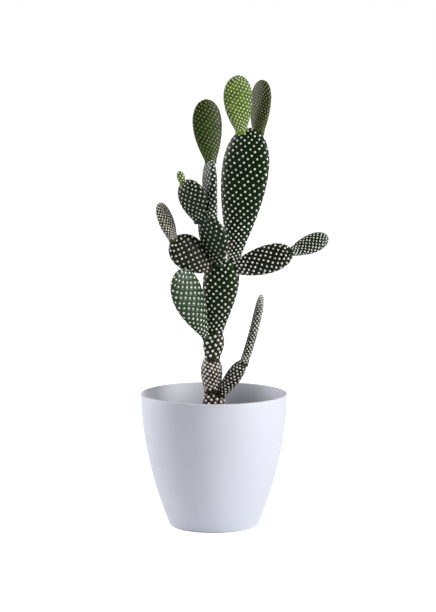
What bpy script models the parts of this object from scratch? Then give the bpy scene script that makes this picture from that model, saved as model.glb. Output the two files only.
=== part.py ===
"""A paddle cactus (bunny-ear prickly pear) growing in a plain tapered plastic pot.

The pot is turned, and it stands on its underside with the origin at the middle of that face. Potting mix fills it
to a little below the rim. The plant is a chain of flat pads, each grown on the rim of an older one. Every pad is a
solid of its own, and its foot is cut to the shape of the pad that it grows on.
"""

import math
from collections import namedtuple

import bmesh
import bpy
from mathutils import Matrix, Vector

MM = 0.001
GAP = 0.3 * MM  # kept between any two solids that touch

# Pot
POT_HEIGHT = 128 * MM
RIM_RADIUS = 70 * MM
BASE_RADIUS = 42.3 * MM
SIDE_CURVE = 1.9  # power of the side's outline: 1 is a straight cone
WALL = 2.8 * MM
LIP_ROUND = 1.0 * MM
FLOOR_TOP = 5.0 * MM
FOOT_STEP = 1.2 * MM  # the foot stands this far in from the side and this high
FOOT_WIDTH = 5.0 * MM
RECESS = 1.5 * MM
CENTRE_DISC = 14 * MM  # flat disc in the middle of the underside, level with the foot
POT_SIDES = 48
SIDE_STEPS = 9

# Potting mix
MIX_TOP = 103 * MM
MIX_DOME = 2.0 * MM  # the middle stands this much higher than the edge
MIX_BUMP = 0.9 * MM
MIX_RINGS = 8

# Pads
ROOTED = 2.5 * MM  # how far a pad's foot runs on into the pad that bears it, before it is cut
CAP_POWER = 2.1  # roundness of a pad's far end
SECTION_POWER = 2.25  # a pad's cross-section: 2 is an ellipse
TIP_FULLNESS = 0.7  # below 1, a pad keeps its thickness further out to the tip than its width
FOOT_FULLNESS = 2.1  # share of full thickness at the foot, over its share of full width

# foot and tip are in millimetres, with +X to the right and -Y towards the front. turn is how far the pad's right
# edge is swung towards the front, in degrees. neck is the foot's share of the full width, belly is how far along
# the widest place is, and taper above 1 hollows the outline between them. bow is how far the middle stands off the
# straight line from foot to tip, towards the right edge and towards the back, in millimetres.
Pad = namedtuple(
    "Pad", "grows_on foot tip width thick turn neck belly taper colour bow", defaults=("mature", (0, 0))
)

PADS = {
    "stem_foot": Pad(None, (1.5, 0, 86), (-0.5, 0, 135), 26, 21, 10, 0.62, 0.35, 1.0, "woody"),
    "stem_lower": Pad("stem_foot", (-2, 0, 132), (-2.5, -1, 165.5), 21.5, 18, 0, 0.72, 0.5, 1.0, "woody"),
    "stem_middle": Pad("stem_lower", (-1.5, -1, 162.5), (1, 0, 189.5), 21, 17, 0, 0.7, 0.55, 1.0, "woody"),
    "trunk_pad": Pad("stem_middle", (1, 0, 186), (9.4, 2, 258), 36, 16, 12, 0.44, 0.72, 1.3),
    "tall_pad": Pad("trunk_pad", (18, 4, 251.5), (34.8, 16, 380.8), 48, 14, 20, 0.24, 0.7, 1.3, "mature", (1, -2)),
    "ear_pad_left": Pad(
        "tall_pad", (25.8, 14, 376.6), (22.4, 9, 430.8), 28.4, 9.5, -10, 0.32, 0.63, 0.9, "young", (-1.2, 0)
    ),
    "ear_pad_right": Pad("tall_pad", (42.4, 15, 376.2), (46, 25, 426), 26.5, 9.5, 45, 0.42, 0.6, 0.8, "young"),
    "front_pad": Pad("trunk_pad", (2.6, -3, 253), (-6, -18, 299.8), 36, 13, 45, 0.28, 0.55, 0.8, "mature", (1.5, 1)),
    "edge_pad": Pad("front_pad", (-2, -17, 297), (-3.9, -10, 352.8), 31, 10.5, 70, 0.5, 0.6, 0.9, "mature", (0, -1)),
    "top_left_pad": Pad(
        "edge_pad", (-3, -10, 350.5), (-7.6, -3, 408.8), 28.8, 10, -12, 0.36, 0.62, 0.9, "young", (-0.6, 0)
    ),
    "round_pad": Pad("front_pad", (-12.8, -12, 294), (-25.6, -19, 334), 32, 10.5, 35, 0.32, 0.55, 0.8),
    "bud": Pad("round_pad", (-29.4, -15.5, 330), (-32.6, -16.5, 341.8), 8, 7, 0, 0.66, 0.55, 1.0, "young"),
    "left_pad": Pad("trunk_pad", (-4.5, -1, 248.5), (-40.6, -9, 275.3), 34, 12.5, -15, 0.36, 0.55, 0.8),
    "left_tip_pad": Pad("left_pad", (-38.8, -8.5, 276.6), (-51.8, -4, 311), 21, 9, -55, 0.42, 0.5, 0.9, "young"),
    "low_left_pad": Pad(
        "stem_middle", (-7.2, -5, 184), (-33.4, -22, 249), 35.5, 12, -32, 0.3, 0.64, 1.1, "mature", (-1, 1.5)
    ),
    "right_pad": Pad("trunk_pad", (20.5, 0, 248), (75, -8, 264.5), 28.5, 12, 20, 0.42, 0.58, 0.8, "mature", (0, 1)),
    "right_tip_pad": Pad("right_pad", (72.8, -8, 263.8), (108.8, 2, 278), 20, 10, 30, 0.36, 0.6, 0.9, "young"),
    "shoot_foot": Pad("stem_foot", (8.8, -4, 130), (29.4, -10, 161), 16, 13, 30, 0.6, 0.5, 0.8),
    "shoot_pad": Pad(
        "shoot_foot", (28.4, -9.5, 157.4), (45.6, -3, 223.6), 17, 9, 85, 0.6, 0.66, 0.7, "mature", (0, 1.5)
    ),
}
# Pads that press on a neighbour which they don't grow on, and so are cut by it too.
ALSO_CUT_BY = {
    "front_pad": ["tall_pad"],
    "left_pad": ["front_pad", "tall_pad"],
    "right_pad": ["tall_pad"],
    "shoot_foot": ["stem_lower"],
    "low_left_pad": ["stem_lower", "trunk_pad"],
    "ear_pad_right": ["ear_pad_left"],
    "round_pad": ["edge_pad"],
}

COLOURS = {
    "pot": ((0.66, 0.67, 0.72), 0.42),
    "potting_mix": ((0.035, 0.022, 0.014), 0.95),
    "woody": ((0.045, 0.043, 0.028), 0.7),
    "mature": ((0.018, 0.045, 0.012), 0.55),
    "young": ((0.075, 0.125, 0.020), 0.5),
}


def material(name):
    """The named finish, made on first use."""
    found = bpy.data.materials.get(name)
    if found:
        return found
    colour, roughness = COLOURS[name]
    made = bpy.data.materials.new(name)
    made.use_nodes = True
    shader = made.node_tree.nodes["Principled BSDF"]
    shader.inputs["Base Color"].default_value = (*colour, 1)
    shader.inputs["Roughness"].default_value = roughness
    shader.inputs["Metallic"].default_value = 0
    made.diffuse_color = (*colour, 1)
    return made


def add_object(name, rings, finish, close_start, close_end):
    """A solid skinned over rings of points, all of one length. A ring of one point is the pole that ends it."""
    bm = bmesh.new()
    rows = [[bm.verts.new(point) for point in ring] for ring in rings]
    for lower, upper in zip(rows, rows[1:]):
        count = max(len(lower), len(upper))
        for i in range(count):
            j = (i + 1) % count
            corners = [lower[i % len(lower)], lower[j % len(lower)], upper[j % len(upper)], upper[i % len(upper)]]
            bm.faces.new(list(dict.fromkeys(corners)))
    if close_start:
        bm.faces.new(list(reversed(rows[0])))
    if close_end:
        bm.faces.new(rows[-1])
    bmesh.ops.recalc_face_normals(bm, faces=bm.faces)
    mesh = bpy.data.meshes.new(name)
    bm.to_mesh(mesh)
    bm.free()
    mesh.shade_smooth()
    mesh.set_sharp_from_angle(angle=math.radians(40))
    mesh.materials.append(material(finish))
    made = bpy.data.objects.new(name, mesh)
    bpy.context.scene.collection.objects.link(made)
    return made


def cut(target, cutter):
    """Takes the cutter's shape out of the target."""
    modifier = target.modifiers.new("cut_by_" + cutter.name, "BOOLEAN")
    modifier.operation = "DIFFERENCE"
    modifier.object = cutter


def hide(helper):
    """Marks a cutter, which isn't a piece of the object."""
    helper.hide_render = True
    helper.display_type = "WIRE"
    return helper


# Pot and potting mix ------------------------------------------------------------------------------------------------


def side_radius(height):
    """Radius of the pot's outside at a height: upright at the rim and leaning in more and more towards the base."""
    return RIM_RADIUS - (RIM_RADIUS - BASE_RADIUS) * (1 - height / POT_HEIGHT) ** SIDE_CURVE


def inner_radius(height):
    return side_radius(height) - WALL


def arc(centre, radius, start, end, steps):
    """Points of an arc in the (radius, height) plane, angles in degrees."""
    angles = [math.radians(start + (end - start) * i / steps) for i in range(steps + 1)]
    return [(centre[0] + radius * math.cos(a), centre[1] + radius * math.sin(a)) for a in angles]


def heights(low, high, steps):
    return [low + (high - low) * i / steps for i in range(steps + 1)]


def turned_rings(outline, sides=POT_SIDES):
    """One ring of points for each (radius, height) of the outline."""
    turns = [2 * math.pi * i / sides for i in range(sides)]
    return [[(r * math.cos(a), r * math.sin(a), z) for a in turns] for r, z in outline]


def make_pot():
    foot_radius = BASE_RADIUS - FOOT_STEP
    lip_top = POT_HEIGHT - LIP_ROUND
    lip_outer = (RIM_RADIUS - LIP_ROUND, lip_top)
    lip_inner = (RIM_RADIUS - WALL + LIP_ROUND, lip_top)
    underside = [
        (CENTRE_DISC, 0),
        (CENTRE_DISC + RECESS, RECESS),
        (foot_radius - FOOT_WIDTH - RECESS, RECESS),
        (foot_radius - FOOT_WIDTH, 0),
        (foot_radius, 0),
        (foot_radius, FOOT_STEP),
    ]
    outside = [(side_radius(z), z) for z in heights(FOOT_STEP, lip_top, SIDE_STEPS)][:-1]
    lip = arc(lip_outer, LIP_ROUND, 0, 90, 3) + arc(lip_inner, LIP_ROUND, 90, 180, 3)
    inside = [(inner_radius(z), z) for z in heights(lip_top, FLOOR_TOP, SIDE_STEPS)][1:]
    return add_object("pot", turned_rings(underside + outside + lip + inside), "pot", True, True)


def mix_height(radius, angle):
    """Height of the potting mix's surface: a low dome with soft bumps."""
    dome = MIX_DOME * (1 - (radius / inner_radius(MIX_TOP)) ** 2)
    wide = math.sin(3 * angle + 1) * math.sin(radius / (9 * MM))
    narrow = math.cos(5 * angle) * math.sin(radius / (5 * MM))
    return MIX_TOP + dome + MIX_BUMP * (0.6 * wide + 0.4 * narrow)


def make_potting_mix():
    """Fills the pot from its floor to MIX_TOP. The plant's stem and roots are cut out of it afterwards."""
    floor = FLOOR_TOP + GAP
    walls = [(inner_radius(z) - GAP, z) for z in heights(floor, MIX_TOP - 1 * MM, SIDE_STEPS)]
    rings = turned_rings(walls)
    turns = [2 * math.pi * i / POT_SIDES for i in range(POT_SIDES)]
    for i in range(MIX_RINGS):
        radius = (inner_radius(MIX_TOP) - 1 * MM) * (1 - i / MIX_RINGS)
        rings.append([(radius * math.cos(a), radius * math.sin(a), mix_height(radius, a)) for a in turns])
    rings.append([(0, 0, mix_height(0, 0))])
    return add_object("potting_mix", rings, "potting_mix", True, False)


# Plant --------------------------------------------------------------------------------------------------------------


def outline_share(pad, t):
    """Share of the full width at t, where t is 0 at the foot and 1 at the tip."""
    if t >= pad.belly:
        past = (t - pad.belly) / (1 - pad.belly)
        return max(0, 1 - past**CAP_POWER) ** (1 / CAP_POWER)
    rise = math.sin(math.pi / 2 * max(t, 0) / pad.belly)
    return pad.neck + (1 - pad.neck) * rise**pad.taper


def thick_share(pad, t):
    """Share of the full thickness at t: fuller than the outline, both towards the tip and at the foot."""
    if t >= pad.belly:
        return outline_share(pad, t) ** TIP_FULLNESS
    neck = min(1, FOOT_FULLNESS * pad.neck)
    return neck + (1 - neck) * math.sin(math.pi / 2 * max(t, 0) / pad.belly)


def section(width, thick, sides):
    """Points of a flattened round cross-section, as (across, out)."""
    points = []
    for i in range(sides):
        a = 2 * math.pi * i / sides
        c, s = math.cos(a), math.sin(a)
        across = math.copysign(abs(c) ** (2 / SECTION_POWER), c) * width / 2
        out = math.copysign(abs(s) ** (2 / SECTION_POWER), s) * thick / 2
        points.append((across, out))
    return points


def pad_axes(pad):
    """(along, across, out): unit vectors from foot to tip, across the flat face, and out of it."""
    along = (Vector(pad.tip) - Vector(pad.foot)).normalized()
    facing = Vector((0, -1, 0))
    out = (facing - along * facing.dot(along)).normalized()
    out.rotate(Matrix.Rotation(math.radians(-pad.turn), 3, along))
    return along, along.cross(out), out


def pad_rings(pad, grow=0.0):
    """Rings of a pad's surface, in metres, made bigger by grow on every side."""
    along, across, out = pad_axes(pad)
    foot, tip = Vector(pad.foot) * MM, Vector(pad.tip) * MM
    length = (tip - foot).length
    sides = 24 if length > 100 * MM else 12 if length < 20 * MM else 18
    steps = 16 if length > 100 * MM else 7 if length < 20 * MM else 11
    rings = []
    for i in range(steps):
        t = (1 - math.cos(math.pi * i / steps)) / 2
        width = pad.width * MM * outline_share(pad, t) + 2 * grow
        thick = pad.thick * MM * thick_share(pad, t) + 2 * grow
        bow = math.sin(math.pi * t) * MM
        centre = foot + along * (length * t) + (across * pad.bow[0] - out * pad.bow[1]) * bow
        if i == 0:
            rings.append([centre - along * (ROOTED + grow) + across * u + out * v for u, v in section(width, thick, sides)])
        rings.append([centre + across * u + out * v for u, v in section(width, thick, sides)])
    rings.append([tip + along * grow])
    return rings


def make_plant():
    """Every pad as an object, cut by the inflated shapes of the pads that it meets. Returns those shapes by name."""
    pads = {name: add_object(name, pad_rings(pad), pad.colour, True, False) for name, pad in PADS.items()}
    cutters = {
        name: hide(add_object(name + "_cutter", pad_rings(pad, GAP), pad.colour, True, False)) for name, pad in PADS.items()
    }
    for name, pad in PADS.items():
        for other in [pad.grows_on, *ALSO_CUT_BY.get(name, [])]:
            if other:
                cut(pads[name], cutters[other])
    return cutters


def main():
    for old in list(bpy.data.objects):
        bpy.data.objects.remove(old)
    make_pot()
    mix = make_potting_mix()
    pad_cutters = make_plant()
    cut(mix, pad_cutters["stem_foot"])


main()
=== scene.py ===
"""The looks of a potted bunny-ear cactus: its skins, its tufts of glochids, the potting mix and the pot.

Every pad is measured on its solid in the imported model, and skinned with a much finer mesh. Areoles are laid
out in the spiral that a growing plant follows. Each one raises a low tubercle, and carries a felt cushion and
a tuft of glochids.
"""

import itertools
import math
from collections import namedtuple

import bpy
import numpy as np
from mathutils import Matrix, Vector
from mathutils.bvhtree import BVHTree
from mathutils.kdtree import KDTree


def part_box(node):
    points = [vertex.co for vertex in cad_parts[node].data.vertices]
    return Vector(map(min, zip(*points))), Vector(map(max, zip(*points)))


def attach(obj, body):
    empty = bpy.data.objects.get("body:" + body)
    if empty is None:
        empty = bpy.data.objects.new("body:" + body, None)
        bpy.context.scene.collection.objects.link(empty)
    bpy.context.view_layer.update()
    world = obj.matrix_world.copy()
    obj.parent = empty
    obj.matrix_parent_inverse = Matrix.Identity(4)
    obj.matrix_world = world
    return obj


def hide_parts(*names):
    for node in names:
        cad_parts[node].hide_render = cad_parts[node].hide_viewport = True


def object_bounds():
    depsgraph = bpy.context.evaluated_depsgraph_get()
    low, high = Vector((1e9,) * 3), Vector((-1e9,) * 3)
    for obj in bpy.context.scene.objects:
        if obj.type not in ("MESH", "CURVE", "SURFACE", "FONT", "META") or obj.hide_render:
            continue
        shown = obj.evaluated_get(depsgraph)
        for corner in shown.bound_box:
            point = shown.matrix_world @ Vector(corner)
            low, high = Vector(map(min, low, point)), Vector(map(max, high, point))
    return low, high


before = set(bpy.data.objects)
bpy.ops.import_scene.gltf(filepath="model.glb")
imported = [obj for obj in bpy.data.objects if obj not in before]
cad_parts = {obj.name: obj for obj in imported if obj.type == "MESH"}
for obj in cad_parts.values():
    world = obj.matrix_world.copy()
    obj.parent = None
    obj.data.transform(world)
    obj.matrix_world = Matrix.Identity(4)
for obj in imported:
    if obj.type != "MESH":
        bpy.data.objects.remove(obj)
cad_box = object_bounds()

MM = 0.001

# Random numbers
PAD_SEED = 100  # and one more for each next pad
GRAIN_SEED = 7

# Pads
SECTION_POWER = 2.25  # a pad's cross-section: 2 is an ellipse
SLICES = 44  # taken of each solid, to measure it
LENGTH_STEPS, GIRTH_STEPS = 400, 180  # for the lengths of curves along a pad and round it
BELOW_FOOT = -math.pi / 4  # the turn that a pad's measures run on to, inside its parent
FOOT_SLOPE = 0.7  # share of the first slices' slope that carries on down to the foot
SKIN_STEP = 0.6 * MM  # size of a skin's quads
LEAST_ROWS, LEAST_COLUMNS = 12, 16  # of quads on the smallest pad
SUNK = 3 * MM  # how far a skin runs on into the pad that it grows on
SUNK_MOST = 0.4  # and never more than this share of its own length
DEEPEST = 12 * MM  # no point of one pad lies deeper than this inside another
RAY = Vector((0.37, -0.89, 0.26))  # the way to look out of a solid; no edge of a pad runs along it
RAY_STEP = 0.001 * MM  # past each face that the ray goes through
CUT_NEAR = 0.5 * MM  # a slice this near the parent's surface has been cut by it
GOLDEN_TURN = (3 - math.sqrt(5)) / 2  # turn from one areole to the next, as a share of the way round
JITTER = 0.07  # how far an areole strays from the lattice, as a share of the spacing
LEAST_SPACING = 0.8 * MM
GIRTH_SHARE = 0.8  # a pad's girth, as a share of the way round its widest rectangle

# Tubercles
GROOVE_WIDTH = 0.2  # of the groove between two tubercles, as a share of the spacing
GROOVE_DEPTH = 0.5  # share of the height that a groove takes away
TUBERCLE_REACH = 1.5  # how far a tubercle slopes down, in half spacings
TUBERCLE_FALL = 0.55  # share of the height that is lost by then
BARE_HEIGHT = 0.4  # of skin that has no areole near it
BARE_BEYOND = 1.5  # how far from an areole such skin is, in spacings

# Pot and potting mix
POT_SIDES = 192
OUTLINE_STEP = 0.01 * MM  # points of the pot's outline that are nearer than this are one
GRAINS = 2600  # stones on top of the potting mix
GRAIN_SIZES = (0.7, 1.1, 1.7, 2.4)  # their radii in millimetres
GRAIN_SHARES = (0.3, 0.4, 0.22, 0.08)  # how many have each radius
GRAIN_MARGIN = 2.5 * MM  # kept free of grains, inside the edge of the mix
GRAIN_DROP = 5 * MM  # grains lie no deeper than this below the top of the mix

# Glochids
ROOT_SPREAD = 0.45 * MM
BRISTLE_THICK = 0.115 * MM  # radius at the root
ROOT_DEPTH = 0.1 * MM
SPIKE_FACES = ((0, 1, 3), (1, 2, 3), (2, 0, 3), (2, 1, 0))  # three corners at the root, then the tip
SPIKE_REACH = (0.0, 0.0, 0.0, 1.0)
CUSHION_SIDES = 8
CUSHION_RINGS = ((0.52, -0.12), (0.5, 0.12), (0.3, 0.28))  # (radius, height) as shares of the tuft's reach
CUSHION_TOP = 0.34
FELT_TONE = 0.5  # 0 is the colour of a glochid's root, and 1 of its tip
TUFT_SCALE = 1.32
FAN = math.radians(82)  # how far from upright the outermost glochids lean
TUFT_TILT = 0.22  # lean of a whole tuft towards the pad's tip
ROOT_TURNS = (0.0, 2 * math.pi / 3, 4 * math.pi / 3)

# Stage
FLOOR_REACH = 12.0
FLOOR_GLOW = 0.14  # the floor's own light on the plant
FLOOR_NEAR, FLOOR_FAR = 0.80, 1.0  # and its light to the camera, beside the pot and far off
FLOOR_FADE = (0.15, 0.8)  # where the floor is near, and where it is far
ROOM_LIGHT = 0.14
CAMERA_LENS = 151.9
CAMERA_PLACE = (0.0039, -2.443, 0.517)
CAMERA_AIM = 0.2117  # height of the point that the camera looks at, above the pot's middle

# Azimuth 0 is the camera's side, and 90 is the right. Angles are in degrees.
Softbox = namedtuple("Softbox", "azimuth elevation width height watts")

SOFTBOX_DISTANCE = 1.8
SOFTBOXES = {
    "key": Softbox(64, 22, 1.0, 1.4, 36),
    "left": Softbox(-108, 22, 1.0, 1.4, 30),
    "top": Softbox(0, 88, 1.2, 1.2, 4),
}

# rise is how much further along the pad each next areole is, and reach is a tuft's radius, both in
# millimetres. bristles is how many glochids a tuft has. relief is the tubercles' height in millimetres.
Look = namedtuple("Look", "grows_on rise reach bristles relief skin glochids slot")

LOOKS = {
    "stem_foot": Look(None, 0.3, 2.0, 70, 0.5, "bark", "tan", "woody_stem"),
    "stem_lower": Look("stem_foot", 0.2, 1.95, 74, 0.5, "bark", "tan", "woody_stem"),
    "stem_middle": Look("stem_lower", 0.4, 2.0, 64, 0.5, "stem", "cream", "woody_stem"),
    "trunk_pad": Look("stem_middle", 0.31, 1.5, 60, 0.45, "dark", "cream", "mature_skin"),
    "tall_pad": Look("trunk_pad", 0.28, 1.4, 60, 0.4, "dark", "white", "mature_skin"),
    "ear_pad_left": Look("tall_pad", 0.185, 0.74, 44, 0.3, "lime", "white", "young_skin"),
    "ear_pad_right": Look("tall_pad", 0.15, 0.8, 44, 0.3, "olive", "dun", "young_skin"),
    "front_pad": Look("trunk_pad", 0.35, 1.3, 56, 0.4, "dark", "white", "mature_skin"),
    "edge_pad": Look("front_pad", 0.27, 1.3, 56, 0.4, "dark", "white", "mature_skin"),
    "top_left_pad": Look("edge_pad", 0.2, 0.75, 44, 0.3, "moss", "dun", "young_skin"),
    "round_pad": Look("front_pad", 0.28, 1.15, 50, 0.35, "dark", "cream", "mature_skin"),
    "bud": Look("round_pad", 0.35, 0.9, 30, 0.25, "lime", "white", "young_skin"),
    "left_pad": Look("trunk_pad", 0.31, 1.4, 56, 0.4, "brown", "cream", "mature_skin"),
    "left_tip_pad": Look("left_pad", 0.16, 1.05, 50, 0.3, "olive", "rose", "young_skin"),
    "low_left_pad": Look("stem_middle", 0.33, 1.25, 56, 0.7, "glossy", "white", "mature_skin"),
    "right_pad": Look("trunk_pad", 0.32, 1.45, 58, 0.4, "brown", "white", "mature_skin"),
    "right_tip_pad": Look("right_pad", 0.21, 1.05, 50, 0.3, "dark", "white", "young_skin"),
    "shoot_foot": Look("stem_foot", 0.28, 1.4, 56, 0.4, "stem", "cream", "mature_skin"),
    "shoot_pad": Look("shoot_foot", 0.21, 1.25, 50, 0.35, "stem", "white", "mature_skin"),
}

# Colours at the foot and at the tip, the painted shade in the grooves, and roughness.
Skin = namedtuple("Skin", "foot tip groove roughness")

SKINS = {
    "bark": Skin((0.040, 0.026, 0.018), (0.032, 0.026, 0.015), (0.012, 0.007, 0.005), 0.6),
    "stem": Skin((0.024, 0.028, 0.012), (0.012, 0.034, 0.008), (0.005, 0.007, 0.003), 0.5),
    "dark": Skin((0.009, 0.026, 0.003), (0.007, 0.042, 0.002), (0.001, 0.005, 0.001), 0.42),
    "brown": Skin((0.013, 0.020, 0.005), (0.015, 0.017, 0.005), (0.004, 0.004, 0.002), 0.45),
    # The next skin has a dark green foot; its pale grey-green tip is a painted reflection of the key light, a
    # silvery sheen on the waxy skin.
    "glossy": Skin((0.014, 0.050, 0.008), (0.150, 0.220, 0.140), (0.001, 0.010, 0.001), 0.2),
    # The next skin is a young pad's own yellow-green, made brighter with painted glow of the light that
    # shines through the pad.
    "lime": Skin((0.150, 0.240, 0.008), (0.062, 0.110, 0.014), (0.040, 0.080, 0.004), 0.42),
    "olive": Skin((0.034, 0.060, 0.005), (0.036, 0.042, 0.010), (0.012, 0.013, 0.005), 0.45),
    # The next skin's near-black olive tip is partly the young top's own colour and partly painted shade.
    "moss": Skin((0.034, 0.080, 0.002), (0.008, 0.012, 0.001), (0.005, 0.009, 0.001), 0.42),
}

# Colours of a glochid at its root and at its tip.
GLOCHIDS = {
    "white": ((0.84, 0.80, 0.68), (0.97, 0.96, 0.93)),
    "cream": ((0.74, 0.65, 0.52), (0.95, 0.92, 0.87)),
    "dun": ((0.24, 0.22, 0.07), (0.56, 0.54, 0.32)),
    "tan": ((0.66, 0.52, 0.42), (0.96, 0.91, 0.86)),
    "rose": ((0.72, 0.58, 0.50), (0.96, 0.91, 0.88)),
}


# Meshes -------------------------------------------------------------------------------------------


def add_piece(name, verts, faces, material, attributes=()):
    """A smooth-shaded mesh that rides on the root body. attributes is (name, number per vertex) pairs."""
    mesh = bpy.data.meshes.new(name)
    mesh.from_pydata(np.asarray(verts).tolist(), [], faces)
    for key, values in attributes:
        layer = mesh.attributes.new(key, "FLOAT", "POINT")
        layer.data.foreach_set("value", np.asarray(values, np.float32))
    mesh.shade_smooth()
    mesh.materials.append(material)
    piece = bpy.data.objects.new(name, mesh)
    bpy.context.scene.collection.objects.link(piece)
    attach(piece, "root")
    return piece


def grid_faces(rows, columns, first=0):
    """Quads between rows of points that each go right round."""
    faces = []
    for r in range(rows - 1):
        low, high = first + r * columns, first + (r + 1) * columns
        for c in range(columns):
            d = (c + 1) % columns
            faces.append((low + c, low + d, high + d, high + c))
    return faces


def unit(vectors):
    """The same vectors, each made 1 long."""
    return vectors / np.maximum(np.linalg.norm(vectors, axis=-1, keepdims=True), 1e-12)


def points_of(node):
    """(vertices, edges) of a CAD node, as arrays."""
    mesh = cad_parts[node].data
    verts = np.empty(len(mesh.vertices) * 3, np.float32)
    mesh.vertices.foreach_get("co", verts)
    edges = np.empty(len(mesh.edges) * 2, np.int32)
    mesh.edges.foreach_get("vertices", edges)
    return verts.reshape(-1, 3).astype(float), edges.reshape(-1, 2)


def tree_of(node):
    """A CAD node's faces, ready for rays and nearest points."""
    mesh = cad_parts[node].data
    return BVHTree.FromPolygons([v.co for v in mesh.vertices], [list(p.vertices) for p in mesh.polygons])


TREES = {name: tree_of(name) for name in LOOKS}


def is_inside(tree, point):
    """True if a ray from the point leaves the solid an odd number of times."""
    point = Vector(point)
    if tree.find_nearest(point)[3] > DEEPEST:
        return False
    crossings = 0
    hit = tree.ray_cast(point, RAY)[0]
    while hit is not None:
        crossings += 1
        hit = tree.ray_cast(hit + RAY * RAY_STEP, RAY)[0]
    return crossings % 2 == 1


# Pads ---------------------------------------------------------------------------------------------


def superellipse(angle):
    """A point on the outline of half-width and half-thickness 1."""
    c, s = np.cos(angle), np.sin(angle)
    power = 2 / SECTION_POWER
    return np.sign(c) * np.abs(c) ** power, np.sign(s) * np.abs(s) ** power


def smoothed(values, rounds=3):
    """The same list with its facets softened, and both ends kept."""
    values = np.array(values, float)
    for _ in range(rounds):
        values[1:-1] = (values[:-2] + 2 * values[1:-1] + values[2:]) / 4
    return values


class Pad:
    """The smooth outside of a pad, measured on slices of its solid.

    A place on it is a turn and an angle. The turn is 0 at the foot and pi at the tip, and below 0 it runs on
    into the parent. The angle goes round the cross-section, from the right edge towards the front.
    """

    def __init__(self, node, parent):
        verts, edges = points_of(node)
        self.find_axis(verts, parent)
        turns = np.linspace(0, math.pi, SLICES + 1)
        slices = [self.slice(verts, edges, self.distance(turn)) for turn in turns[1:-1]]
        self.find_section(slices)
        first = self.first_whole(slices, parent)
        sizes = [self.measure(cut) for cut in slices[first:]]
        sizes.append((0, 0, 0, 0))
        self.turns = np.concatenate([[BELOW_FOOT, 0], turns[first + 1 :]])
        columns = [smoothed(column) for column in zip(*sizes)]
        self.columns = [self.extended(column, turns[first + 1 :]) for column in columns]

    def find_axis(self, verts, parent):
        """From the middle of the foot, where the pad meets its parent or is lowest, to the farthest point."""
        if parent:
            near = [TREES[parent].find_nearest(Vector(v))[3] < CUT_NEAR for v in verts]
            foot = verts[near].mean(0)
        else:
            low = verts[:, 2].min()
            foot = verts[verts[:, 2] < low + 0.1 * MM].mean(0)
        tip = verts[np.linalg.norm(verts - foot, axis=1).argmax()]
        self.foot, self.length = foot, np.linalg.norm(tip - foot)
        self.along = (tip - foot) / self.length

    def distance(self, turn):
        """How far along the axis a turn is."""
        return self.length * (1 - np.cos(turn)) / 2 * np.sign(turn)

    def slice(self, verts, edges, distance):
        """Points where the solid's edges cross a plane at that distance along the axis."""
        side = (verts - self.foot) @ self.along - distance
        a, b = side[edges[:, 0]], side[edges[:, 1]]
        cross = a * b < 0
        share = (a[cross] / (a[cross] - b[cross]))[:, None]
        start, end = verts[edges[cross, 0]], verts[edges[cross, 1]]
        return start + (end - start) * share

    def find_section(self, slices):
        """The directions across the pad and out of its front face, from its middle slices."""
        middle = slices[len(slices) * 2 // 5 : len(slices) * 4 // 5]
        flat = np.concatenate([cut - (cut.max(0) + cut.min(0)) / 2 for cut in middle])
        flat -= np.outer(flat @ self.along, self.along)
        _, directions = np.linalg.eigh(flat.T @ flat)
        across = directions[:, 2]
        out = np.cross(across, self.along)
        if out[1] > 0:
            across, out = -across, -out
        self.across, self.out = across, out

    def first_whole(self, slices, parent):
        """Index of the first slice that the parent's surface doesn't cut."""
        if parent:
            for i, cut in enumerate(slices):
                if min(TREES[parent].find_nearest(Vector(p))[3] for p in cut) > CUT_NEAR:
                    return i
        return 1

    def measure(self, cut):
        """(centre across, centre out, half-width, half-thickness) of a slice."""
        u, v = (cut - self.foot) @ self.across, (cut - self.foot) @ self.out
        return (u.max() + u.min()) / 2, (v.max() + v.min()) / 2, np.ptp(u) / 2, np.ptp(v) / 2

    def extended(self, column, turns):
        """The column with values for the foot and below it, along the line of the first whole slices."""
        gap = self.distance(turns[2]) - self.distance(turns[0])
        slope = (column[2] - column[0]) / gap
        at_foot = column[0] - slope * self.distance(turns[0]) * FOOT_SLOPE
        return np.concatenate([[at_foot, at_foot], column])

    def at(self, turn):
        """The four measures at each turn, on a smooth curve through the slices."""
        found = []
        for column in self.columns:
            slopes = np.gradient(column, self.turns)
            k = np.clip(np.searchsorted(self.turns, turn) - 1, 0, len(self.turns) - 2)
            width = self.turns[k + 1] - self.turns[k]
            t = (turn - self.turns[k]) / width
            found.append(
                column[k] * (1 + 2 * t) * (1 - t) ** 2
                + column[k + 1] * t**2 * (3 - 2 * t)
                + slopes[k] * width * t * (1 - t) ** 2
                - slopes[k + 1] * width * t**2 * (1 - t)
            )
        return found

    def point(self, turn, angle):
        """Places on the surface, one for each turn and angle."""
        centre_u, centre_v, half_width, half_thick = self.at(turn)
        x, y = superellipse(angle)
        u = centre_u + np.maximum(half_width, 0) * x
        v = centre_v + np.maximum(half_thick, 0) * y
        parts = ((self.distance(turn), self.along), (u, self.across), (v, self.out))
        return self.foot + sum(length[..., None] * way for length, way in parts)

    def normal(self, turn, angle, step=0.01):
        """Unit vectors straight out of the surface, from places a step away on each side."""
        ahead = self.point(np.minimum(turn + step, math.pi), angle) - self.point(turn - step, angle)
        round_ = self.point(turn, angle + step) - self.point(turn, angle - step)
        return unit(np.cross(round_, ahead))

    def start_turn(self):
        """The turn that is SUNK below the foot."""
        return -math.acos(1 - 2 * min(SUNK / self.length, SUNK_MOST))


def even_turns(pad, step):
    """Turns from the sunk foot to the tip, evenly spaced along the surface."""
    fine = np.linspace(pad.start_turn(), math.pi, LENGTH_STEPS)
    _, _, half_width, half_thick = pad.at(fine)
    outline = np.stack([pad.distance(fine), (half_width + half_thick) / 2], 1)
    lengths = np.concatenate([[0], np.linalg.norm(np.diff(outline, axis=0), axis=1).cumsum()])
    count = max(LEAST_ROWS, int(lengths[-1] / step))
    return np.interp(np.linspace(0, lengths[-1], count), lengths, fine)


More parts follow.
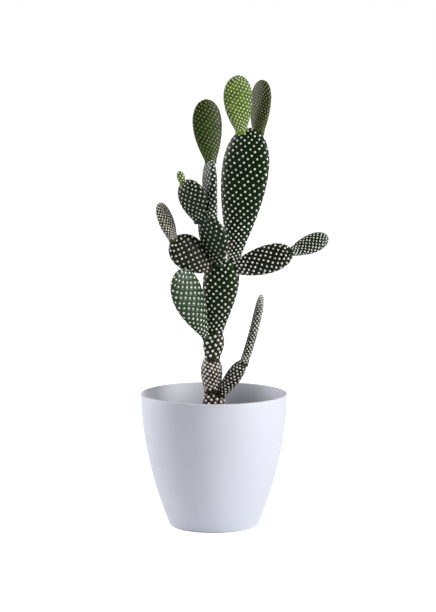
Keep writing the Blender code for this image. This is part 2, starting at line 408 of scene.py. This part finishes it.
def even_angles(half_width, half_thick, shares):
    """Angles that are the given shares of the way round the outline."""
    fine = np.linspace(0, 2 * math.pi, GIRTH_STEPS + 1)
    x, y = superellipse(fine)
    steps = np.hypot(np.diff(x) * half_width, np.diff(y) * half_thick)
    lengths = np.concatenate([[0], steps.cumsum()])
    return np.interp(shares, lengths / lengths[-1], fine)


def girth_of(half_width, half_thick):
    """Length round an ellipse, near enough."""
    return math.pi * (1.5 * (half_width + half_thick) - math.sqrt(max(half_width * half_thick, 0)))


def lay_areoles(name, pad, look, rng):
    """(turns, angles, spacings) of the areoles, in a spiral up the pad, less those hidden in another pad."""
    rise = look.rise * MM
    distances = np.arange(0.4 * rise, pad.length, rise)
    turns = np.arccos(np.clip(1 - 2 * distances / pad.length, -1, 1))
    _, _, half_width, half_thick = pad.at(turns)
    kept = []
    for i, turn in enumerate(turns):
        girth = girth_of(half_width[i], half_thick[i])
        spacing = math.sqrt(max(girth * 2 * rise, LEAST_SPACING**2))
        stray = rng.normal(0, JITTER, 2) * spacing
        share = (i * GOLDEN_TURN + stray[0] / max(2 * girth, spacing)) % 1
        angle = even_angles(half_width[i], half_thick[i], share)
        turn += stray[1] / pad.length
        if turn < math.pi:
            kept.append((turn, angle, spacing))
    turns, angles, spacings = (np.array(column) for column in zip(*kept))
    places = pad.point(turns, angles)
    others = [tree for other, tree in TREES.items() if other != name]
    clear = [not any(is_inside(tree, place) for tree in others) for place in places]
    return turns[clear], angles[clear], spacings[clear]


def relief_at(places, centres, spacings):
    """(heights, grooves): how high the tubercles stand and how deep the grooves are, as shares."""
    tree = KDTree(len(centres))
    for i, centre in enumerate(centres):
        tree.insert(centre, i)
    tree.balance()
    heights, grooves = np.full(len(places), BARE_HEIGHT), np.zeros(len(places))
    for i, place in enumerate(places):
        found = tree.find_n(place, 2)
        (_, index, near), (_, _, next_near) = found[0], found[-1]
        spacing = spacings[index]
        if near < spacing:
            grooves[i] = math.exp(-(((next_near - near) / (GROOVE_WIDTH * spacing)) ** 2))
        if near < BARE_BEYOND * spacing:
            away = min(near / (0.5 * spacing), TUBERCLE_REACH) / TUBERCLE_REACH
            heights[i] = (1 - TUBERCLE_FALL * away**2) * (1 - GROOVE_DEPTH * grooves[i])
    return heights, grooves


def make_skin(name, pad, look, centres, spacings):
    """The pad's outside, with a tubercle under each areole, closed by a flat foot and a pole at the tip."""
    turns = even_turns(pad, SKIN_STEP)
    _, _, half_width, half_thick = pad.at(turns)
    widest = half_width.argmax()
    girth = 4 * (half_width[widest] + half_thick[widest]) * GIRTH_SHARE
    columns = max(LEAST_COLUMNS, int(girth / SKIN_STEP))
    angles = even_angles(half_width[widest], half_thick[widest], np.arange(columns) / columns)
    grid_turn, grid_angle = np.meshgrid(turns[:-1], angles, indexing="ij")
    places = pad.point(grid_turn, grid_angle).reshape(-1, 3)
    normals = pad.normal(grid_turn, grid_angle).reshape(-1, 3)
    tip = pad.point(np.array([math.pi]), np.array([0.0]))
    places, normals = np.vstack([places, tip]), np.vstack([normals, pad.along])
    heights, grooves = relief_at(places, centres, spacings)
    verts = places + normals * (heights * look.relief * MM)[:, None]
    along = np.append(np.repeat(turns[:-1] / math.pi, columns), 1)
    faces = grid_faces(len(turns) - 1, columns)
    last = (len(turns) - 2) * columns
    pole = len(verts) - 1
    faces += [(last + c, last + (c + 1) % columns, pole) for c in range(columns)]
    faces.append(tuple(reversed(range(columns))))
    # The second attribute is the mask for the painted shade in the grooves.
    attributes = [("along", along), ("groove", grooves)]
    piece = add_piece(name + "_skin", verts, faces, skin_material(look.skin), attributes)
    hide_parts(name)


# Glochids -----------------------------------------------------------------------------------------


def tangents(normals, along):
    """Two unit vectors across each normal. The second leans towards the pad's tip."""
    off_axis = np.array([0.013, 0.007, 0.011])  # so that no normal lies right along the axis
    sideways = unit(np.cross(normals, along + off_axis))
    return sideways, np.cross(sideways, normals)


def make_glochids(name, pad, look, centres, normals, rng):
    """A tuft of fine straight bristles on each areole, and the felt cushion that they grow from."""
    count = len(centres)
    side, up = tangents(normals, pad.along)
    sizes = rng.uniform(0.85, 1.12, count)
    tones = rng.uniform(0, 1, count)
    verts, faces = bristles(look, centres, normals, side, up, sizes, rng)
    reaches = sizes * look.reach * TUFT_SCALE * MM
    felt_verts, felt_faces = felt_cushions(centres, normals, side, up, reaches, len(verts))
    each, felt_each = len(verts) // count, len(felt_verts) // count
    areole = np.append(np.repeat(np.arange(count), each), np.repeat(np.arange(count), felt_each))
    reach = np.append(np.tile(SPIKE_REACH, count * look.bristles), np.full(len(felt_verts), FELT_TONE))
    verts, faces = np.vstack([verts, felt_verts]), faces + felt_faces
    attributes = [("tone", tones[areole]), ("reach", reach)]
    material = glochid_material(look.glochids)
    piece = add_piece(name + "_glochids", verts, faces, material, attributes)
    add_tuft_map(piece.data, areole, reach, count)


def bristles(look, centres, normals, side, up, sizes, rng):
    """(verts, faces) of thin closed spikes that fan out from the middle of each areole."""
    shape = len(centres), look.bristles
    around = rng.uniform(0, 2 * math.pi, shape)
    share = np.sqrt(rng.uniform(0, 1, shape))
    lean = FAN * share * rng.uniform(0.75, 1.1, shape)
    length = TUFT_SCALE * look.reach * MM * sizes[:, None] * rng.uniform(0.72, 1.08, shape)
    thick = BRISTLE_THICK * rng.uniform(0.8, 1.2, shape)
    normals, side, up = normals[:, None], side[:, None], up[:, None]
    spread = np.cos(around)[..., None] * side + np.sin(around)[..., None] * up
    ways = unit(np.cos(lean)[..., None] * normals + np.sin(lean)[..., None] * spread + TUFT_TILT * up)
    roots = centres[:, None] + spread * (share * ROOT_SPREAD)[..., None] - ROOT_DEPTH * normals
    tips = roots + ways * length[..., None]
    across = unit(np.cross(ways, side * 0.6 + up))
    other = np.cross(ways, across)
    corners = [roots + (math.cos(a) * across + math.sin(a) * other) * thick[..., None] for a in ROOT_TURNS]
    verts = np.stack([*corners, tips], 2).reshape(-1, 3)
    first = np.arange(around.size)[:, None, None] * 4
    faces = (first + np.array(SPIKE_FACES)).reshape(-1, 3)
    return verts, faces.tolist()


def felt_cushions(centres, normals, side, up, reaches, first):
    """(verts, faces) of a low closed dome on each areole. first is the mesh's number for the first vertex."""
    turns = np.arange(CUSHION_SIDES) * 2 * math.pi / CUSHION_SIDES
    verts = []
    for centre, normal, a, b, reach in zip(centres, normals, side, up, reaches):
        spokes = [a * math.cos(turn) + b * math.sin(turn) for turn in turns]
        for radius, height in CUSHION_RINGS:
            verts += [centre + normal * height * reach + spoke * radius * reach for spoke in spokes]
        verts.append(centre + normal * CUSHION_TOP * reach)
    each = len(CUSHION_RINGS) * CUSHION_SIDES + 1
    faces = []
    for start in range(first, first + len(verts), each):
        top, peak = start + (len(CUSHION_RINGS) - 1) * CUSHION_SIDES, start + each - 1
        faces += grid_faces(len(CUSHION_RINGS), CUSHION_SIDES, start)
        faces += [(top + c, top + (c + 1) % CUSHION_SIDES, peak) for c in range(CUSHION_SIDES)]
        faces.append(tuple(start + c for c in reversed(range(CUSHION_SIDES))))
    return verts, faces


def add_tuft_map(mesh, areole, reach, count):
    """A UV map that gives each tuft one square cell, with its roots at the bottom and its tips on top."""
    cells = math.ceil(math.sqrt(count))
    corners = np.empty(len(mesh.loops), np.int32)
    mesh.loops.foreach_get("vertex_index", corners)
    cell = areole[corners]
    turn = np.arange(len(corners)) % 3
    u = (cell % cells + 0.2 + 0.3 * turn) / cells
    v = (cell // cells + 0.15 + 0.7 * reach[corners]) / cells
    layer = mesh.uv_layers.new(name="OFBake")
    layer.data.foreach_set("uv", np.stack([u, v], 1).ravel().astype(np.float32))


# Materials ----------------------------------------------------------------------------------------


class Nodes:
    """A material's node tree, with short ways to add nodes and link them."""

    def __init__(self, name):
        self.material = bpy.data.materials.new(name)
        self.material.use_nodes = True
        self.tree = self.material.node_tree
        self.shader = self.tree.nodes["Principled BSDF"]

    def add(self, kind, inputs=(), **settings):
        node = self.tree.nodes.new(kind)
        for key, value in settings.items():
            setattr(node, key, value)
        for key, value in dict(inputs).items():
            self.feed(node.inputs[key], value)
        return node

    def feed(self, socket, value):
        if isinstance(value, bpy.types.NodeSocket):
            self.tree.links.new(value, socket)
        elif isinstance(value, tuple) and len(value) == 3 and socket.type == "RGBA":
            socket.default_value = (*value, 1)
        else:
            socket.default_value = value

    def attribute(self, name):
        return self.add("ShaderNodeAttribute", attribute_name=name).outputs["Fac"]

    def place(self):
        return self.add("ShaderNodeTexCoord").outputs["Object"]

    def noise(self, size, detail=3.0, roughness=0.5):
        """Noise whose features are about size metres across."""
        inputs = {"Vector": self.place(), "Scale": 1 / size, "Detail": detail, "Roughness": roughness}
        return self.add("ShaderNodeTexNoise", inputs).outputs["Fac"]

    def ramp(self, value, low, high, to_low=0.0, to_high=1.0):
        inputs = {"Value": value, "From Min": low, "From Max": high, "To Min": to_low, "To Max": to_high}
        return self.add("ShaderNodeMapRange", inputs).outputs["Result"]

    def mix(self, share, first, second, blend="MIX"):
        node = self.add("ShaderNodeMix", data_type="RGBA", blend_type=blend)
        sockets = [s for s in node.inputs if s.type == "RGBA"]
        self.feed(node.inputs["Factor"], share)
        self.feed(sockets[0], first)
        self.feed(sockets[1], second)
        return next(s for s in node.outputs if s.type == "RGBA")

    def bump(self, height, distance, strength=1.0, normal=None):
        inputs = {"Height": height, "Distance": distance, "Strength": strength}
        if normal is not None:
            inputs["Normal"] = normal
        return self.add("ShaderNodeBump", inputs).outputs["Normal"]

    def finish(self, **inputs):
        for key, value in inputs.items():
            self.feed(self.shader.inputs[key.replace("_", " ")], value)
        return self.material


def once_each(make):
    """Makes each material once for each set of words that it is asked for with."""
    made = {}

    def get(*words):
        if words not in made:
            made[words] = make(*words)
        return made[words]

    return get


@once_each
def skin_material(kind):
    """Waxy skin, mottled, with painted shade in the grooves and a fine grain of pores. Some kinds also hold
    painted light in their foot and tip colours.
    """
    skin = SKINS[kind]
    nodes = Nodes("skin_" + kind)
    colour = nodes.mix(nodes.attribute("along"), skin.foot, skin.tip)
    patches = nodes.ramp(nodes.noise(9 * MM, 4), 0.35, 0.7)
    colour = nodes.mix(patches, colour, tuple(1.45 * c for c in skin.foot))
    specks = nodes.ramp(nodes.noise(0.9 * MM, 3, 0.6), 0.35, 0.65)
    colour = nodes.mix(nodes.ramp(specks, 0, 1, 0, 0.35), colour, tuple(0.5 * c for c in skin.tip))
    # Painted shade: the grooves between tubercles darkened towards a near-black colour.
    colour = nodes.mix(nodes.ramp(nodes.attribute("groove"), 0, 1, 0, 0.85), colour, skin.groove)
    pores = nodes.bump(nodes.noise(0.28 * MM, 2), 0.05 * MM, 0.5)
    swell = nodes.bump(nodes.noise(2.5 * MM, 3), 0.25 * MM, 0.6, pores)
    rough = nodes.ramp(nodes.noise(3 * MM, 3), 0.3, 0.7, skin.roughness - 0.07, skin.roughness + 0.09)
    return nodes.finish(Base_Color=colour, Roughness=rough, Normal=swell, Specular_IOR_Level=0.22)


@once_each
def glochid_material(kind):
    """Barbed hair: darker at the root, paler at the tip, and no two tufts quite alike."""
    root, tip = GLOCHIDS[kind]
    nodes = Nodes("glochids_" + kind)
    colour = nodes.mix(nodes.ramp(nodes.attribute("reach"), 0, 0.7), root, tip)
    tone = nodes.ramp(nodes.attribute("tone"), 0, 1, 0, 0.3)
    colour = nodes.mix(tone, colour, root)
    return nodes.finish(Base_Color=colour, Roughness=0.55, Specular_IOR_Level=0.3)


def pot_material():
    """Moulded plastic: pale blue-grey, satin, with a very fine texture and faint scuffs."""
    nodes = Nodes("pot_plastic")
    cloud = nodes.ramp(nodes.noise(35 * MM, 3), 0.3, 0.7)
    colour = nodes.mix(cloud, (0.620, 0.635, 0.700), (0.640, 0.655, 0.720))
    specks = nodes.ramp(nodes.noise(0.5 * MM, 2), 0.62, 0.75, 0, 0.12)
    colour = nodes.mix(specks, colour, (0.54, 0.55, 0.60))
    rough = nodes.ramp(nodes.noise(4 * MM, 4), 0.3, 0.7, 0.36, 0.46)
    grain = nodes.bump(nodes.noise(0.35 * MM, 2), 0.02 * MM, 0.35)
    return nodes.finish(Base_Color=colour, Roughness=rough, Normal=grain, Specular_IOR_Level=0.4)


def mix_material():
    """Dark moist peat with paler fibres."""
    nodes = Nodes("peat")
    crumbs = nodes.ramp(nodes.noise(1.6 * MM, 5, 0.7), 0.3, 0.7)
    colour = nodes.mix(crumbs, (0.014, 0.009, 0.006), (0.060, 0.038, 0.022))
    fibres = nodes.ramp(nodes.noise(0.5 * MM, 2), 0.6, 0.72)
    colour = nodes.mix(fibres, colour, (0.13, 0.085, 0.05))
    lumps = nodes.bump(nodes.noise(1.2 * MM, 4, 0.7), 0.6 * MM, 0.9)
    return nodes.finish(Base_Color=colour, Roughness=0.9, Normal=lumps, Specular_IOR_Level=0.2)


def grain_material():
    """Grit and pumice: each grain has its own tone, from dark bark to off-white."""
    nodes = Nodes("grit")
    tone = nodes.attribute("tone")
    colour = nodes.mix(nodes.ramp(tone, 0.0, 0.7), (0.030, 0.018, 0.010), (0.16, 0.115, 0.075))
    colour = nodes.mix(nodes.ramp(tone, 0.86, 0.9), colour, (0.62, 0.60, 0.55))
    dust = nodes.ramp(nodes.noise(0.4 * MM, 3), 0.35, 0.7, 0, 0.4)
    colour = nodes.mix(dust, colour, (0.05, 0.035, 0.022))
    pits = nodes.bump(nodes.noise(0.5 * MM, 3), 0.15 * MM, 0.8)
    return nodes.finish(Base_Color=colour, Roughness=0.85, Normal=pits, Specular_IOR_Level=0.25)


# Pot and potting mix ------------------------------------------------------------------------------


def outline_of(node):
    """(radius, height) pairs of a turned solid, from its underside's middle disc, over the rim, to its floor.

    They are the corners that lie straight out along X, in the order in which the solid's edges join them.
    """
    verts, edges = points_of(node)
    keys = np.round(verts / OUTLINE_STEP).astype(int)
    on_line = (keys[:, 1] == 0) & (keys[:, 0] > 0)
    links = {}
    for a, b in edges:
        if on_line[a] and on_line[b]:
            ka, kb = tuple(keys[a]), tuple(keys[b])
            if ka != kb:
                links.setdefault(ka, set()).add(kb)
                links.setdefault(kb, set()).add(ka)
    start = min((k for k in links if k[2] == 0), key=lambda k: k[0])
    chain = [start]
    while ahead := [k for k in links[chain[-1]] if k not in chain]:
        chain.append(ahead[0])
    return [(k[0] * OUTLINE_STEP, k[2] * OUTLINE_STEP) for k in chain]


def turned(outline, sides):
    """A closed solid, turned round the Z axis from (radius, height) pairs."""
    turns = np.arange(sides) * 2 * math.pi / sides
    rings = [np.stack([r * np.cos(turns), r * np.sin(turns), np.full(sides, z)], 1) for r, z in outline]
    verts = np.concatenate(rings)
    last = len(verts) - sides
    faces = grid_faces(len(outline), sides)
    faces += [tuple(reversed(range(sides))), tuple(range(last, last + sides))]
    return verts, faces


def icosahedron():
    """The corners, 1 from the middle, and the faces, each listed anticlockwise as seen from outside."""
    golden = (1 + math.sqrt(5)) / 2
    corners = [(a, b, 0) for a in (-1, 1) for b in (-golden, golden)]
    corners += [(0, a, b) for a, b, _ in corners]
    corners += [(b, 0, a) for a, b, _ in corners[:4]]
    corners = unit(np.array(corners, float))
    near = np.linalg.norm(corners[:, None] - corners[None], axis=2) < 1.1  # an edge is 1.05 long
    faces = []
    for i, j, k in itertools.combinations(range(len(corners)), 3):
        if near[i, j] and near[j, k] and near[i, k]:
            normal = np.cross(corners[j] - corners[i], corners[k] - corners[i])
            faces.append((i, j, k) if np.dot(normal, corners[i]) > 0 else (i, k, j))
    return corners, np.array(faces)


def make_grains(material):
    """Grit, pumice and bark crumbs that lie on the potting mix, each a lumpy stone of its own."""
    rng = np.random.default_rng(GRAIN_SEED)
    surface = tree_of("potting_mix")
    corners, facets = icosahedron()
    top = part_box("potting_mix")[1]
    reach = top.x - GRAIN_MARGIN
    verts, tones = [], []
    while len(verts) < GRAINS:
        x, y = rng.uniform(-reach, reach, 2)
        size = rng.choice(GRAIN_SIZES, p=GRAIN_SHARES) * MM
        drop = surface.ray_cast(Vector((x, y, top.z + 10 * MM)), Vector((0, 0, -1)))[0]
        if math.hypot(x, y) > reach or drop is None or drop.z < top.z - GRAIN_DROP:
            continue
        turn = np.linalg.qr(rng.normal(size=(3, 3)))[0]
        shape = corners * rng.uniform(0.75, 1.2, (12, 1)) * rng.uniform(0.6, 1.1, 3) @ turn
        shape[:, 2] *= np.sign(np.linalg.det(turn))  # so that a mirroring turn leaves no grain inside out
        verts.append(np.array(drop) + shape * size + np.array([0, 0, 0.25 * size]))
        tones.append(rng.uniform())
    faces = (np.arange(GRAINS)[:, None, None] * 12 + facets).reshape(-1, 3).tolist()
    attributes = [("tone", np.repeat(tones, 12))]
    piece = add_piece("mix_grains", np.concatenate(verts), faces, material, attributes)
    piece.data.shade_flat()


# Stage --------------------------------------------------------------------------------------------


def make_floor():
    """A wide white floor. Like the room, it is bright to the camera and dim to everything else."""
    corners = [(x * FLOOR_REACH, y * FLOOR_REACH, 0) for x, y in ((-1, -1), (1, -1), (1, 1), (-1, 1))]
    mesh = bpy.data.meshes.new("floor")
    mesh.from_pydata(corners, [], [(0, 1, 2, 3)])
    floor = bpy.data.objects.new("floor", mesh)
    bpy.context.scene.collection.objects.link(floor)
    nodes = Nodes("white_floor")
    seen = nodes.add("ShaderNodeLightPath").outputs["Is Camera Ray"]
    away = nodes.add("ShaderNodeVectorMath", {0: nodes.place()}, operation="LENGTH").outputs["Value"]
    white = nodes.ramp(away, *FLOOR_FADE, FLOOR_NEAR, FLOOR_FAR)
    glow = nodes.ramp(seen, 0, 1, FLOOR_GLOW, white)
    nodes.finish(
        Base_Color=(0.78, 0.79, 0.82), Roughness=1.0, Emission_Color=(1, 1, 1), Emission_Strength=glow
    )
    mesh.materials.append(nodes.material)


def add_softbox(name, box):
    """A soft light that looks at the middle of the plant."""
    light = bpy.data.lights.new(name, "AREA")
    light.shape, light.size, light.size_y, light.energy = "RECTANGLE", box.width, box.height, box.watts
    lamp = bpy.data.objects.new(name, light)
    a, e = math.radians(box.azimuth), math.radians(box.elevation)
    back = Vector((math.sin(a) * math.cos(e), -math.cos(a) * math.cos(e), math.sin(e)))
    lamp.location = Vector((0, 0, 0.5 * cad_box[1].z)) + back * SOFTBOX_DISTANCE
    lamp.rotation_mode = "QUATERNION"
    lamp.rotation_quaternion = back.to_track_quat("Z", "Y")
    bpy.context.scene.collection.objects.link(lamp)


def make_world():
    """White to the camera, dim to everything else."""
    world = bpy.data.worlds.new("studio")
    bpy.context.scene.world = world
    world.use_nodes = True
    tree = world.node_tree
    room = tree.nodes["Background"]
    room.inputs["Color"].default_value = (0.93, 0.96, 1.0, 1)
    room.inputs["Strength"].default_value = ROOM_LIGHT
    seen = tree.nodes.new("ShaderNodeBackground")
    seen.inputs["Strength"].default_value = 1.0
    seen.inputs["Color"].default_value = (1, 1, 1, 1)
    path = tree.nodes.new("ShaderNodeLightPath")
    mix = tree.nodes.new("ShaderNodeMixShader")
    tree.links.new(path.outputs["Is Camera Ray"], mix.inputs["Fac"])
    tree.links.new(room.outputs["Background"], mix.inputs[1])
    tree.links.new(seen.outputs["Background"], mix.inputs[2])
    tree.links.new(mix.outputs["Shader"], tree.nodes["World Output"].inputs["Surface"])


def make_camera():
    """The photographer's eye: a long lens, a little above the pot's rim, looking slightly down."""
    camera = bpy.data.cameras.new("camera")
    camera.lens = CAMERA_LENS
    eye = bpy.data.objects.new("camera", camera)
    eye.location = CAMERA_PLACE
    _, y, z = CAMERA_PLACE
    eye.rotation_euler = (math.pi / 2 - math.atan2(z - CAMERA_AIM, -y), 0, 0)
    bpy.context.scene.collection.objects.link(eye)
    bpy.context.scene.camera = eye


# Whole --------------------------------------------------------------------------------------------


def make_pad(index, name, look):
    """The skin and the tufts of one pad. index only makes its random numbers its own."""
    rng = np.random.default_rng(PAD_SEED + index)
    pad = Pad(name, look.grows_on)
    turns, angles, spacings = lay_areoles(name, pad, look, rng)
    places, normals = pad.point(turns, angles), pad.normal(turns, angles)
    make_skin(name, pad, look, places, spacings)
    centres = places + normals * look.relief * MM
    make_glochids(name, pad, look, centres, normals, rng)


def make_pot():
    """The pot's own outline, turned in many more sides than its solid has."""
    verts, faces = turned(outline_of("pot"), POT_SIDES)
    pot = add_piece("pot_body", verts, faces, pot_material())
    pot.data.set_sharp_from_angle(angle=math.radians(35))
    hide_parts("pot")


def main():
    for index, (name, look) in enumerate(LOOKS.items()):
        make_pad(index, name, look)
    make_pot()
    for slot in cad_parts["potting_mix"].material_slots:
        slot.material = mix_material()
    make_grains(grain_material())
    make_floor()
    make_world()
    for name, box in SOFTBOXES.items():
        add_softbox(name, box)
    make_camera()
    bpy.context.scene.view_settings.view_transform = "Standard"


main()
